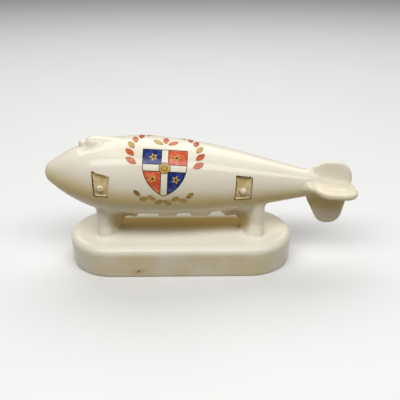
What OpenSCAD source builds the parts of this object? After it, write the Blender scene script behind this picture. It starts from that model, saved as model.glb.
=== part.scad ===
// Souvenir china airship on a round-ended plinth.
// Slip-cast pieces luted together, with gilt windows and an enamel crest on the port side.
// X runs from nose to tail, Y from port to starboard, Z up.
// The origin is under the middle of the overall length, on the surface that the ornament stands on.

/* [Plinth] */
// Length over the round ends
plinth_length = 95; // [86:1:106]
// Width across the straight sides
plinth_width = 38; // [34:1:44]
// Height from the foot to the flat top
plinth_height = 13.2; // [11:0.2:16]
// Radius rolled over the top edge
plinth_edge = 3; // [2:0.25:4]
// Thickness of the cast wall and top
plinth_wall = 3; // [2:0.25:4]
// How far the wall draws in at the foot
plinth_draft = 0.45; // [0:0.05:1]

/* [Envelope] */
// Height of the hull axis over the middle of the foot
axis_height = 37; // [35:0.5:41]
// Angle that the nose points up
nose_up = 3.2; // [0:0.1:5]
// Distance from the middle of the plinth to the nose
nose_reach = 56.2; // [50:0.2:62]
// Length of the hull from nose to tail, without the fins
hull_length = 122; // [115:1:130]
// Greatest radius of the hull
hull_radius = 16.8; // [15:0.1:18]
// Distance from the nose to the greatest radius
hull_shoulder = 39; // [34:0.5:44]
// Radius of the nose
nose_radius = 5.2; // [4:0.1:6.5]
// Radius of the tail end
tail_radius = 3.5; // [3:0.1:4.5]
// Half angle of the tail cone
tail_angle = 12.7; // [12:0.1:14]
// Thickness of the cast hull
hull_wall = 2.4; // [1.6:0.1:2.8]

/* [Pillars] */
// Distance between the two pillars
pillar_spacing = 64; // [56:1:68]
// Thickness of a pillar along the hull
pillar_thick = 6.2; // [5:0.2:8]
// Depth of a pillar across the hull
pillar_depth = 16.5; // [13:0.5:18]
// Height of the flared foot of a pillar
pillar_flare_height = 2; // [1:0.25:3]
// How far the foot flares out
pillar_flare = 1.6; // [0.5:0.1:2.5]
// Bore that drained the slip from the casting
drain_bore = 3; // [2:0.25:4]

/* [Cars] */
// Clear height from the plinth top to the cars
car_clearance = 6.4; // [5:0.1:7]
// Thickness of the cars across the hull
car_thick = 4.4; // [3:0.2:6]
// Length of a middle car at its lower edge
car_length = 6.8; // [5:0.2:8]
// Distance between the two middle cars
car_pitch = 13.8; // [12.4:0.2:16]
// Distance of the cars' middle behind the plinth's middle
car_offset = 1.2; // [0:0.2:2]
// How far an end car stands out from its pillar, at its lower edge
end_car_length = 10; // [6:0.25:11]
// Slope of the car ends from the upright
car_slope = 44; // [30:1:48]

/* [Fins] */
// Thickness of the fins
fin_thick = 2.8; // [2:0.1:3.6]
// How far the fins' roots reach back past the hull's end
fin_end = 5.6; // [3:0.2:8]
// Height of the top fin over the hull axis
top_fin_span = 10.3; // [9:0.1:13]
// Radius of the top fin's rounded tip
top_fin_round = 7.6; // [5:0.1:8.5]
// How far ahead of the hull's end the top fin's leading edge leaves the axis
top_fin_root = 24; // [21:0.5:30]
// Length of the straight stretch along the top fin's rim
top_fin_edge = 2.4; // [1:0.2:4]
// Depth of the bottom fin under the hull axis
bottom_fin_span = 18.2; // [15:0.1:21]
// Radius of the bottom fin's rounded tip
bottom_fin_round = 5.6; // [4:0.1:6.5]
// How far the bottom fin's tip lies ahead of its root at the back
bottom_fin_sweep = 1.9; // [0:0.1:4]
// How far ahead of the hull's end the bottom fin's leading edge leaves the axis
bottom_fin_root = 16.5; // [14:0.5:20]
// Length of the straight stretch along the bottom fin's rim
bottom_fin_edge = 0.8; // [0.4:0.1:2]
// Reach of the side fins from the hull axis
side_fin_span = 13.7; // [12:0.1:17]
// Radius of the side fins' rounded tips
side_fin_round = 6.2; // [4:0.1:7]
// How far ahead of the hull's end the side fins' leading edges leave the axis
side_fin_root = 16.5; // [14:0.5:20]
// Length of the straight stretch along a side fin's rim
side_fin_edge = 5; // [3:0.25:7]
// How far the side fins' tips reach back past the fins' roots
side_fin_trail = 1.2; // [0.4:0.1:2]

/* [Lookout] */
// Distance from the nose to the front of the cowl
cowl_front = 17; // [15:0.25:19]
// Distance of the cowl's ridge from the hull axis
cowl_height = 16.4; // [15:0.1:17.4]
// Radius of the cowl
cowl_radius = 3.6; // [2.5:0.1:4.5]
// Angle that the cowl's ridge falls towards the tail
cowl_fall = 2; // [1:0.5:4]
// Radius of the lookout's ball
ball_radius = 1.6; // [1:0.1:2]
// How far the ball's middle stands off the hull
ball_lift = 0.8; // [0.2:0.1:1]
// How far the ball is tucked into the front of the cowl
ball_tuck = 0.7; // [0.3:0.1:1.2]

/* [Windows] */
// Distance from the nose to the front windows
front_window = 25; // [23:0.25:28]
// Distance from the nose to the rear windows
rear_window = 81.5; // [78:0.25:84]
// Length of a window along the hull
window_length = 6.2; // [5:0.1:7]
// Height of a window
window_height = 9.3; // [7:0.1:11]
// Height of a window's middle over the hull axis
window_rise = 1.5; // [0:0.1:2.5]
// Depth of the pressed recess
window_depth = 0.7; // [0.4:0.05:1]
// Thickness of the gilding in the recess
gilt_thick = 0.15; // [0.1:0.01:0.3]
// Width of the gilt line round a window
line_width = 0.6; // [0.4:0.05:1]
// Radius of the boss in a window
boss_radius = 1.5; // [1:0.1:2]
// How far a boss stands off the gilding
boss_lift = 1.1; // [0.8:0.05:1.3]

/* [Crest] */
// Distance from the nose to the middle of the crest
crest_station = 49.8; // [46:0.2:54]
// Angle from the port side up to the middle of the shield
shield_angle = 30; // [25:1:35]
// Thickness of the fired enamel
enamel_thick = 0.12; // [0.08:0.01:0.25]
// Width of the shield
shield_width = 17.6; // [15:0.2:19]
// Height of the shield
shield_height = 18.4; // [16:0.2:20]
// Length of the garland under the shield
garland_length = 18; // [14:0.5:22]
// Radius of the garland's sag
garland_arc = 30; // [24:1:40]
// Gap between the shield's point and the garland's stem line
garland_gap = 1.6; // [1.4:0.1:2]
// Leaves in each half of the garland
garland_count = 4; // [3:1:5]
// Length of a garland leaf
garland_leaf_length = 3.6; // [3:0.1:4.4]
// Width of a garland leaf
garland_leaf_width = 1.7; // [1.2:0.1:2]
// Angle that the garland's leaves lean off its line, in turn up and down
garland_lean = 18; // [10:1:25]
// Angle from the port side up to the middle of the sprays
spray_angle = 60; // [55:1:62]
// Radius of the two half wreaths
spray_radius = 12.4; // [12:0.1:13]
// Angle where a half wreath starts, from level
spray_from = -28; // [-30:1:-10]
// Angle where a half wreath ends, from level
spray_to = 52; // [40:1:56]
// Leaves in a half wreath
leaf_count = 6; // [3:1:7]
// Length of a wreath leaf
leaf_length = 5; // [4:0.1:5.6]
// Width of a wreath leaf
leaf_width = 2.4; // [1.6:0.1:2.6]
// Angle that a leaf leans out of the wreath
leaf_lean = 58; // [45:1:70]
// Height of the fan's foot over the middle of the sprays
fan_foot = 3.2; // [2.5:0.1:4]
// Angle between the fan's leaves
fan_turn = 55; // [45:1:60]

/* [Hidden] */
$fn = 96;
// Segments on the long hull arcs, and round the hull
arc_segments = 360;
turn_segments = 192;
// Segments on each arc of a fin's rim
rim_steps = 14;
// How far a cutter runs past the face that it cuts
past = 1;

plinth_end = plinth_width / 2;
plinth_straight = plinth_length - plinth_width;
// Distance from the nose to the back of the fins' roots, and to the back of the side fins
fin_back = hull_length + fin_end;
overall_length = fin_back + side_fin_trail;
// How far the middle of the overall length lies behind the plinth's middle
overhang = (overall_length / 2 - nose_reach) * cos(nose_up);

// Rounds a length to a thousandth, so that neighbouring arcs end at the same place
function tidy(length) = round(length * 1000) / 1000;

// Fore arc, tangent to the nose ball and level at the shoulder
fore_arc = tidy((pow(hull_shoulder - nose_radius, 2) + pow(hull_radius, 2) - pow(nose_radius, 2))
    / (2 * (hull_radius - nose_radius)));
fore_angle = asin((hull_shoulder - nose_radius) / (fore_arc - nose_radius));
// Aft arc, level at the shoulder and tangent to the tail cone
tail_middle = hull_length - tail_radius;
aft_arc = tidy(((tail_middle - hull_shoulder) * sin(tail_angle) + tail_radius
    - hull_radius * cos(tail_angle)) / (1 - cos(tail_angle)));

// Radius of the hull at a distance from the nose
function hull_radius_at(s) =
    s < hull_shoulder - fore_arc * sin(fore_angle) ? sqrt(max(0, s * (2 * nose_radius - s)))
    : s < hull_shoulder ? hull_radius - fore_arc + sqrt(pow(fore_arc, 2) - pow(s - hull_shoulder, 2))
    : s < hull_shoulder + aft_arc * sin(tail_angle)
        ? hull_radius - aft_arc + sqrt(pow(aft_arc, 2) - pow(s - hull_shoulder, 2))
    : (tail_radius + (tail_middle - s) * sin(tail_angle)) / cos(tail_angle);

// Slope of the hull's side at a distance from the nose
function hull_slope_at(s) =
    s < hull_shoulder ? asin((hull_shoulder - s) / fore_arc)
    : s < hull_shoulder + aft_arc * sin(tail_angle) ? -asin((s - hull_shoulder) / aft_arc)
    : -tail_angle;

// Direction, from a circle's middle, of the place where a line from a point touches it
function touch(point, middle, r, turn) =
    let (away = middle - point)
    atan2(away[1], away[0]) + turn * (asin(r / norm(away)) + 90);

window_stations = [front_window, rear_window];

china = "ivory";
gilt = "darkgoldenrod";
enamel_blue = "midnightblue";
enamel_red = "orangered";

// Moves a piece from the plinth's middle, where it is drawn, to the middle of the overall length
module placed() {
    translate([-overhang, 0, 0]) children();
}

// Places children in the hull's frame: nose at the origin, axis along X
module hull_frame() {
    translate([0, 0, axis_height]) rotate([0, nose_up, 0]) translate([-nose_reach, 0, 0]) children();
}

// Everything within reach of the axis between two distances from the nose
module band(from, to) {
    reach = hull_radius + 2 * past;
    polygon([[0, from], [reach, from], [reach, to], [0, to]]);
}

// Half outline of the hull, grown by a distance: radius along X, distance from the nose along Y
module hull_outline(grow = 0) {
    nose_end = tidy(nose_radius - (nose_radius + grow) * sin(fore_angle));
    aft_end = tidy(hull_shoulder + (aft_arc + grow) * sin(tail_angle));
    tail_start = tidy(tail_middle + (tail_radius + grow) * sin(tail_angle));
    intersection() {
        translate([0, nose_radius]) circle(r = nose_radius + grow);
        band(-past, nose_end);
    }
    intersection() {
        translate([hull_radius - fore_arc, hull_shoulder]) circle(r = fore_arc + grow, $fn = arc_segments);
        band(nose_end, hull_shoulder);
    }
    intersection() {
        translate([hull_radius - aft_arc, hull_shoulder]) circle(r = aft_arc + grow, $fn = arc_segments * 2);
        band(hull_shoulder, aft_end);
    }
    polygon([
        [0, aft_end],
        [hull_radius - aft_arc + (aft_arc + grow) * cos(tail_angle), aft_end],
        [(tail_radius + grow) * cos(tail_angle), tail_start],
        [0, tail_start]
    ]);
    intersection() {
        translate([0, tail_middle]) circle(r = tail_radius + grow);
        band(tail_start, hull_length + past);
    }
}

// Turns a half outline round the hull axis
module turned() {
    rotate([0, 90, 0]) rotate_extrude($fn = turn_segments) children();
}

// The hull as one solid, grown by a distance
module hull_solid(grow = 0) {
    turned() hull_outline(grow);
}

// Skin over the hull, from one distance to another
module hull_skin(inner, outer) {
    turned() difference() {
        hull_outline(outer);
        hull_outline(inner);
    }
}

// Round-ended block from a half section: distance from the middle along X, height along Y
module round_ended(straight) {
    for (side = [-1, 1])
        translate([side * straight / 2, 0, 0]) rotate([0, 0, -side * 90])
            rotate_extrude(angle = 180) children();
    for (turn = [0, 180])
        rotate([0, 0, turn]) translate([straight / 2, 0, 0]) rotate([90, 0, -90])
            linear_extrude(straight) children();
}

// Bores that run from the plinth into the hull, one for each pillar
module drain_holes() {
    for (side = [-1, 1])
        translate([side * pillar_spacing / 2, 0, 0]) cylinder(d = drain_bore, h = axis_height);
}

module plinth_section() {
    polygon([
        [0, 0],
        [plinth_end - plinth_draft, 0],
        [plinth_end, plinth_height - plinth_edge],
        [plinth_end - plinth_edge, plinth_height - plinth_edge],
        [plinth_end - plinth_edge, plinth_height],
        [0, plinth_height]
    ]);
    intersection() {
        translate([plinth_end - plinth_edge, plinth_height - plinth_edge]) circle(r = plinth_edge);
        translate([plinth_end - plinth_edge, plinth_height - plinth_edge]) square(plinth_edge);
    }
}

module plinth() {
    color(china) difference() {
        round_ended(plinth_straight) plinth_section();
        translate([0, 0, -past]) round_ended(plinth_straight)
            square([plinth_end - plinth_draft - plinth_wall, plinth_height - plinth_wall + past]);
        drain_holes();
    }
}

// A round-ended column with a flared foot, standing on the plinth
module column() {
    half = pillar_thick / 2;
    translate([0, 0, plinth_height]) rotate([0, 0, 90]) round_ended(pillar_depth - pillar_thick)
        polygon([
            [0, 0],
            [half + pillar_flare, 0],
            [half, pillar_flare_height],
            [half, axis_height - plinth_height],
            [0, axis_height - plinth_height]
        ]);
}

module pillar(side) {
    color(china) difference() {
        translate([side * pillar_spacing / 2, 0, 0]) column();
        hull_frame() hull_solid();
        drain_holes();
    }
}

module front_pillar() { pillar(-1); }
module rear_pillar() { pillar(1); }

module envelope() {
    color(china) difference() {
        hull_frame() difference() {
            hull_skin(-hull_wall, 0);
            for (station = window_stations) difference() {
                window_block(station);
                hull_solid(-window_depth);
            }
        }
        drain_holes();
    }
}

// A car between two places along the lower edge, its ends sloping out to the hull
module car(from, to, slope_from, slope_to) {
    low = plinth_height + car_clearance;
    rise = axis_height - low;
    color(china) difference() {
        translate([0, car_thick / 2, 0]) rotate([90, 0, 0]) linear_extrude(car_thick)
            polygon([
                [from, low],
                [to, low],
                [to + rise * tan(slope_to), axis_height],
                [from - rise * tan(slope_from), axis_height]
            ]);
        hull_frame() hull_solid();
        for (side = [-1, 1])
            translate([side * pillar_spacing / 2, 0, 0]) column();
    }
}

module mid_car(side) {
    middle = car_offset + side * car_pitch / 2;
    car(middle - car_length / 2, middle + car_length / 2, car_slope, car_slope);
}

module front_car() {
    start = -pillar_spacing / 2;
    car(start, start + pillar_thick / 2 + end_car_length, 0, car_slope);
}

module rear_car() {
    end = pillar_spacing / 2;
    car(end - pillar_thick / 2 - end_car_length, end, car_slope, 0);
}

module fore_mid_car() { mid_car(-1); }
module aft_mid_car() { mid_car(1); }

// Points on an arc round a middle, from one direction to another
function rim_arc(middle, r, from, to) = [
    for (step = [0 : rim_steps])
        let (turn = from + (to - from) * step / rim_steps)
        middle + r * [cos(turn), sin(turn)]
];

// Paddle-shaped fin outline: distance from the nose along X, reach from the axis along Y
module fin_outline(span, rim_round, root, sweep, edge) {
    tip = [fin_back - sweep - rim_round, span - rim_round];
    shoulder = tip - [edge, 0];
    front = [hull_length - root, 0];
    back = [fin_back, 0];
    first = touch(front, shoulder, rim_round, 1);
    last = touch(back, tip, rim_round, -1);
    polygon(concat(
        [front],
        rim_arc(shoulder, rim_round, first, 90),
        rim_arc(tip, rim_round, 90, last),
        [back]
    ));
}

// A fin that stands up from the hull, from a distance off the hull axis
module fin(span, rim_round, root, sweep, edge, start) {
    difference() {
        translate([0, fin_thick / 2, 0]) rotate([90, 0, 0]) linear_extrude(fin_thick) intersection() {
            fin_outline(span, rim_round, root, sweep, edge);
            translate([hull_length - root, start]) square([overall_length - hull_length + root, span]);
        }
        hull_solid();
    }
}

module top_fin() {
    color(china) hull_frame() fin(top_fin_span, top_fin_round, top_fin_root, 0, top_fin_edge, 0);
}

module bottom_fin() {
    color(china) hull_frame() mirror([0, 0, 1])
        fin(bottom_fin_span, bottom_fin_round, bottom_fin_root, bottom_fin_sweep, bottom_fin_edge, 0);
}

module side_fin(side) {
    color(china) hull_frame() rotate([-side * 90, 0, 0])
        fin(side_fin_span, side_fin_round, side_fin_root, -side_fin_trail, side_fin_edge, fin_thick / 2);
}

module port_fin() { side_fin(-1); }
module starboard_fin() { side_fin(1); }

// The cowl before it is fitted to the hull: a bar with a ball at its front end
module cowl_bar() {
    middle = cowl_front + cowl_radius;
    translate([middle, 0, cowl_height - cowl_radius]) rotate([0, cowl_fall, 0]) {
        sphere(r = cowl_radius);
        rotate([0, 90, 0]) cylinder(r = cowl_radius, h = hull_shoulder - middle);
    }
}

module lookout_cowl() {
    color(china) hull_frame() difference() {
        cowl_bar();
        hull_solid();
    }
}

module lookout_ball() {
    station = cowl_front - ball_radius + ball_tuck;
    color(china) hull_frame() difference() {
        translate([station, 0, hull_radius_at(station) + ball_lift]) sphere(r = ball_radius);
        hull_solid();
        cowl_bar();
    }
}

// Block through both sides of the hull at a window, larger by a border
module window_block(station, border = 0) {
    size = [window_length + 2 * border, 2 * (hull_radius + past), window_height + 2 * border];
    translate([station, 0, window_rise]) cube(size, center = true);
}

// Half space on one side of the hull
module side_space(side) {
    reach = hull_radius + past;
    translate([0, min(0, side * reach), -reach]) cube([hull_length, reach, 2 * reach]);
}

module gilding(station, side) {
    color(gilt) hull_frame() intersection() {
        hull_skin(-window_depth, gilt_thick - window_depth);
        window_block(station);
        side_space(side);
    }
}

module window_line(station, side) {
    color(gilt) hull_frame() intersection() {
        hull_skin(0, enamel_thick);
        difference() {
            window_block(station, line_width);
            window_block(station);
        }
        side_space(side);
    }
}

// A domed boss that sits square on the gilding
module boss(station, side) {
    seat = hull_radius_at(station) - window_depth + gilt_thick;
    slope = side * hull_slope_at(station);
    color(china) hull_frame() translate([station, side * seat, 0]) rotate([0, 0, slope])
        rotate([-side * 90, 0, 0]) rotate_extrude() intersection() {
            translate([0, boss_lift - boss_radius]) circle(r = boss_radius);
            square([boss_radius, boss_lift]);
        }
}

module front_port_gilding() { gilding(front_window, -1); }
module rear_port_gilding() { gilding(rear_window, -1); }
module front_starboard_gilding() { gilding(front_window, 1); }
module rear_starboard_gilding() { gilding(rear_window, 1); }
module front_port_line() { window_line(front_window, -1); }
module rear_port_line() { window_line(rear_window, -1); }
module front_starboard_line() { window_line(front_window, 1); }
module rear_starboard_line() { window_line(rear_window, 1); }
module front_port_boss() { boss(front_window, -1); }
module rear_port_boss() { boss(rear_window, -1); }
module front_starboard_boss() { boss(front_window, 1); }
module rear_starboard_boss() { boss(rear_window, 1); }

// Fires a flat design onto the port side, square to the hull at an angle up from the side.
// In the design X runs along the hull and Y up, from the middle of the crest.
module fired(angle) {
    hull_frame() intersection() {
        hull_skin(0, enamel_thick);
        rotate([-angle, 0, 0]) translate([crest_station, 0, 0]) rotate([90, 0, 0])
            linear_extrude(hull_radius + past) children();
    }
}

module shield_outline() {
    half = shield_width / 2;
    square_part = shield_height / 3;
    drop = shield_height - square_part;
    sweep = (half * half + drop * drop) / (2 * half);
    translate([0, shield_height / 2]) {
        translate([-half, -square_part]) square([shield_width, square_part]);
        translate([0, -square_part]) intersection() {
            translate([sweep - half, 0]) circle(r = sweep);
            translate([half - sweep, 0]) circle(r = sweep);
            translate([-half, -drop]) square([shield_width, drop]);
        }
    }
}

module crest_shield() {
    color(enamel_blue) fired(shield_angle) shield_outline();
}

// A pointed leaf from the origin along X
module leaf(length, width) {
    half = length / 2;
    bow = width / 2;
    r = (half * half + bow * bow) / (2 * bow);
    translate([half, 0]) intersection() {
        translate([0, r - bow]) circle(r = r);
        translate([0, bow - r]) circle(r = r);
    }
}

// Two half wreaths of leaves beside the shield and a fan of leaves over it
module crest_sprays() {
    color(enamel_red) fired(spray_angle) {
        for (side = [0, 1], turn = [spray_from : (spray_to - spray_from) / (leaf_count - 1) : spray_to])
            mirror([side, 0]) rotate(turn) translate([spray_radius, 0]) rotate(leaf_lean)
                leaf(leaf_length, leaf_width);
        for (turn = [-fan_turn, 0, fan_turn])
            translate([0, fan_foot]) rotate(90 + turn) translate([leaf_width / 2, 0])
                leaf(leaf_length, leaf_width);
    }
}

// Two leafy sprigs that sag in an arc under the shield
module crest_garland() {
    drop = shield_height / 2 + garland_gap;
    half_turn = garland_length / garland_arc * 90 / PI;
    color(gilt) fired(shield_angle) translate([0, garland_arc - drop])
        for (side = [0, 1], step = [0 : garland_count - 1])
            mirror([side, 0]) rotate(half_turn * step / (garland_count - 1)) translate([0, -garland_arc])
                rotate(step % 2 == 0 ? -garland_lean : garland_lean)
                    leaf(garland_leaf_length, garland_leaf_width);
}

placed() plinth();
placed() front_pillar();
placed() rear_pillar();
placed() envelope();
placed() front_car();
placed() fore_mid_car();
placed() aft_mid_car();
placed() rear_car();
placed() top_fin();
placed() bottom_fin();
placed() port_fin();
placed() starboard_fin();
placed() lookout_cowl();
placed() lookout_ball();
placed() front_port_gilding();
placed() rear_port_gilding();
placed() front_starboard_gilding();
placed() rear_starboard_gilding();
placed() front_port_line();
placed() rear_port_line();
placed() front_starboard_line();
placed() rear_starboard_line();
placed() front_port_boss();
placed() rear_port_boss();
placed() front_starboard_boss();
placed() rear_starboard_boss();
placed() crest_shield();
placed() crest_sprays();
placed() crest_garland();
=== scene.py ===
# %% [markdown]
# # A souvenir airship in glazed china
# The real ornament is cast from liquid clay, dipped in ivory glaze and fired, then gilded and
# enamelled by hand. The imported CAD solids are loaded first, because they fix every size and place.
# Each piece below is then made over its solid, in metres, in the same frame: X from nose to tail,
# Y from port to starboard, Z up from the table.

# %% Load the CAD frame
from math import asin, atan2, cos, hypot, pi, radians, sin, sqrt

import bmesh
import bpy
from mathutils import Matrix, Vector


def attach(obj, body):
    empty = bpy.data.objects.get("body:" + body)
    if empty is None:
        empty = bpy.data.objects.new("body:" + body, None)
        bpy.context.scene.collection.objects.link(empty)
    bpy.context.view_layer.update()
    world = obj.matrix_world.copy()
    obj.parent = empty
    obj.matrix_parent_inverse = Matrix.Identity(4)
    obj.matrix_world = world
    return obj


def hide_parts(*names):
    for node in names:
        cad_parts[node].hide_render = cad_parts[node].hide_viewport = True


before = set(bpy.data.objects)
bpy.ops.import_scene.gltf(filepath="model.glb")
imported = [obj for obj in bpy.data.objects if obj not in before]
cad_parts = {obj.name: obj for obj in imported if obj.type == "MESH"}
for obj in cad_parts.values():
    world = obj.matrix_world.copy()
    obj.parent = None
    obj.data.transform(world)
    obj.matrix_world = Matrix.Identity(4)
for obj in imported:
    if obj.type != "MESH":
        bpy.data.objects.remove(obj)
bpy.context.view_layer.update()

# %% [markdown]
# ## The hull's outline
# The hull is a body of revolution: a ball at the nose, a long arc to the shoulder, a longer arc
# behind it, a straight cone and a small ball at the tail. Writing that outline as one function lets
# the hull, the skin that the fins grow out of and the placing of every film share one shape.

# %% Outline of the hull
MM = 0.001
HULL_LENGTH, FIN_BACK, OVERALL_LENGTH = 122.0, 127.6, 128.8
HULL_RADIUS, SHOULDER = 16.8, 39.0
NOSE_RADIUS, TAIL_RADIUS, TAIL_ANGLE = 5.2, 3.5, radians(12.7)
TAIL_MIDDLE = HULL_LENGTH - TAIL_RADIUS
FORE_ARC = ((SHOULDER - NOSE_RADIUS) ** 2 + HULL_RADIUS**2 - NOSE_RADIUS**2) / (
    2 * (HULL_RADIUS - NOSE_RADIUS)
)
FORE_ANGLE = asin((SHOULDER - NOSE_RADIUS) / (FORE_ARC - NOSE_RADIUS))
AFT_ARC = (
    (TAIL_MIDDLE - SHOULDER) * sin(TAIL_ANGLE) + TAIL_RADIUS - HULL_RADIUS * cos(TAIL_ANGLE)
) / (1 - cos(TAIL_ANGLE))
NOSE_END = SHOULDER - FORE_ARC * sin(FORE_ANGLE)
CONE_START = SHOULDER + AFT_ARC * sin(TAIL_ANGLE)
CONE_END = TAIL_MIDDLE + TAIL_RADIUS * sin(TAIL_ANGLE)


def hull_radius_at(s):
    """Radius of the hull in millimetres, s millimetres behind the nose."""
    if s < NOSE_END:
        return sqrt(max(0.0, s * (2 * NOSE_RADIUS - s)))
    if s < SHOULDER:
        return HULL_RADIUS - FORE_ARC + sqrt(FORE_ARC**2 - (s - SHOULDER) ** 2)
    if s < CONE_START:
        return HULL_RADIUS - AFT_ARC + sqrt(AFT_ARC**2 - (s - SHOULDER) ** 2)
    if s < CONE_END:
        return (TAIL_RADIUS + (TAIL_MIDDLE - s) * sin(TAIL_ANGLE)) / cos(TAIL_ANGLE)
    return sqrt(max(0.0, TAIL_RADIUS**2 - (s - TAIL_MIDDLE) ** 2))


print("radius at the shoulder:", hull_radius_at(SHOULDER), "mm")

# %% [markdown]
# ## A few helpers
# Operators act on whatever is selected, so one helper picks a single object, and another selects
# vertices, edges or faces by where they are. Outlines are drawn the way one would by hand: a single
# vertex is extruded from point to point.

# %% Picking, choosing and drawing
MODES = {"verts": "VERT", "edges": "EDGE", "faces": "FACE"}


def pick(piece):
    """Makes one object the only one selected."""
    bpy.ops.object.select_all(action="DESELECT")
    piece.select_set(True)
    bpy.context.view_layer.objects.active = piece
    return piece


def named(name):
    """Names the object that an operator has just made."""
    piece = bpy.context.object
    piece.name = piece.data.name = name
    return piece


def edit_mode():
    bpy.ops.object.mode_set(mode="EDIT")


def object_mode():
    bpy.ops.object.mode_set(mode="OBJECT")


def select_whole():
    bpy.ops.mesh.select_all(action="SELECT")


def face_outwards():
    """Turns every face outwards, in edit mode."""
    select_whole()
    bpy.ops.mesh.normals_make_consistent(inside=False)


def apply_place():
    """Moves an object's place, turn and scale into its mesh."""
    bpy.ops.object.transform_apply(location=True, rotation=True, scale=True)


def added(name, kind, **settings):
    """Adds one of Blender's ready meshes, with its place in its vertices."""
    bpy.ops.object.select_all(action="DESELECT")
    getattr(bpy.ops.mesh, f"primitive_{kind}_add")(**settings)
    apply_place()
    return named(name)


def choose(piece, kind, test):
    """Selects, in edit mode, the verts, edges or faces that pass a test."""
    bpy.ops.mesh.select_mode(type=MODES[kind])
    bpy.ops.mesh.select_all(action="DESELECT")
    mesh = bmesh.from_edit_mesh(piece.data)
    for item in getattr(mesh, kind):
        if test(item):
            item.select_set(True)
    mesh.select_flush_mode()
    bmesh.update_edit_mesh(piece.data)


def draw(name, points):
    """Draws a chain of edges through points in millimetres, and stays in edit mode."""
    piece = added(name, "plane", size=MM)
    edit_mode()
    bpy.ops.mesh.select_mode(type="VERT")
    select_whole()
    bpy.ops.mesh.merge(type="CENTER")
    here = Vector()
    for n, point in enumerate(points):
        step = Vector(point) * MM - here
        here += step
        if n:
            bpy.ops.mesh.extrude_vertices_move(TRANSFORM_OT_translate={"value": step})
        else:
            bpy.ops.transform.translate(value=step)
    select_whole()
    return piece


def slab(name, outline, thick):
    """Fills an upright outline and pulls it out to a thickness, and stays in edit mode."""
    piece = draw(name, [(x, -thick / 2, z) for x, z in outline])
    bpy.ops.mesh.edge_face_add()
    bpy.ops.mesh.extrude_region_move(TRANSFORM_OT_translate={"value": (0, thick * MM, 0)})
    face_outwards()
    return piece


def pull_apart(piece, axis, reach):
    """Moves the two halves of a piece apart along X (0) or Y (1), in edit mode."""
    for side in (-1, 1):
        choose(piece, "verts", lambda v: v.co[axis] * side > 0)
        step = Vector()
        step[axis] = side * reach * MM
        bpy.ops.transform.translate(value=step)


# %% [markdown]
# The other helpers work on whole objects. Modifiers are applied as soon as they are added, and a vertex
# group made from a rule says where they act. A cut needs a much finer threshold than Blender's own,
# which is a tenth of a millimetre and would tangle a model of this size.

# %% Modifiers, cuts and shading
CLEAN_CUT = 1e-7
EVEN_ROUNDS = 6


def finish_with(piece, kind, **settings):
    """Adds one modifier and applies it."""
    pick(piece)
    modifier = piece.modifiers.new(kind, kind)
    for name, value in settings.items():
        setattr(modifier, name, value)
    bpy.ops.object.modifier_apply(modifier=modifier.name)
    return piece


def weigh(piece, group_name, rule):
    """Makes a vertex group from a rule on a place in millimetres."""
    group = piece.vertex_groups.new(name=group_name)
    for vertex in piece.data.vertices:
        weight = rule(*(vertex.co / MM))
        if weight > 0:
            group.add([vertex.index], min(1.0, weight), "REPLACE")
    return group_name


def slice_off(piece, planes):
    """Cuts away what lies in front of each plane, and closes the cut."""
    pick(piece)
    edit_mode()
    for place, outward in planes:
        select_whole()
        bpy.ops.mesh.bisect(
            plane_co=Vector(place) * MM, plane_no=outward,
            use_fill=True, clear_outer=True, threshold=CLEAN_CUT,
        )
    object_mode()


def soften(piece, angle=40):
    """Shades a piece smoothly, apart from edges sharper than an angle in degrees."""
    pick(piece)
    bpy.ops.object.shade_smooth_by_angle(angle=radians(angle))
    return piece


def even_out(piece, voxel):
    """Rebuilds a piece from small even faces and smooths it a little."""
    finish_with(piece, "REMESH", mode="VOXEL", voxel_size=voxel * MM, use_smooth_shade=True)
    return finish_with(piece, "SMOOTH", factor=0.5, iterations=EVEN_ROUNDS)


def join_all(pieces, name):
    """Joins pieces into one object."""
    pick(pieces[0])
    for piece in pieces:
        piece.select_set(True)
    bpy.ops.object.join()
    return named(name)


def round_corners(mass, rule, rounds):
    """Smooths a mass in the places that a rule gives."""
    corners = weigh(mass, "corners", rule)
    finish_with(mass, "SMOOTH", factor=0.5, iterations=rounds, vertex_group=corners)


def cut_out(mass, name, planes):
    """Copies a mass and keeps what lies behind every plane, closing each cut."""
    pick(mass)
    bpy.ops.object.duplicate()
    piece = named(name)
    slice_off(piece, planes)
    piece.vertex_groups.clear()
    return soften(piece)


def fade(value, near, far):
    """1 up to near, 0 from far on, and an S-shaped slope between."""
    share = max(0.0, min(1.0, (far - value) / (far - near)))
    return share * share * (3 - 2 * share)


# %% [markdown]
# ## Hull
# A hull could be a stretched sphere, but its taper would be wrong. Spinning the true half outline
# round the axis gives clean rings instead. The rings lie closer at the windows, so that the pressed
# recesses get crisp but soft shoulders, as clay has.

# %% Spin the hull
WINDOWS = (25.0, 81.5)
WINDOW_LENGTH, WINDOW_HEIGHT, WINDOW_RISE, WINDOW_DEPTH = 6.2, 9.3, 1.5, 0.7
WINDOW_MARGIN = 1.2
HULL_STEPS, RING_GAP, WINDOW_RING_GAP = 360, 1.0, 0.3


def hull_stations(start, end, coarse, fine):
    """Distances from the nose, closer together at the windows."""
    stations = [start]
    while stations[-1] < end - coarse:
        s = stations[-1]
        near = min(abs(s - station) for station in WINDOWS) < WINDOW_LENGTH / 2 + WINDOW_MARGIN
        stations.append(s + (fine if near else coarse))
    return stations + [end]


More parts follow.
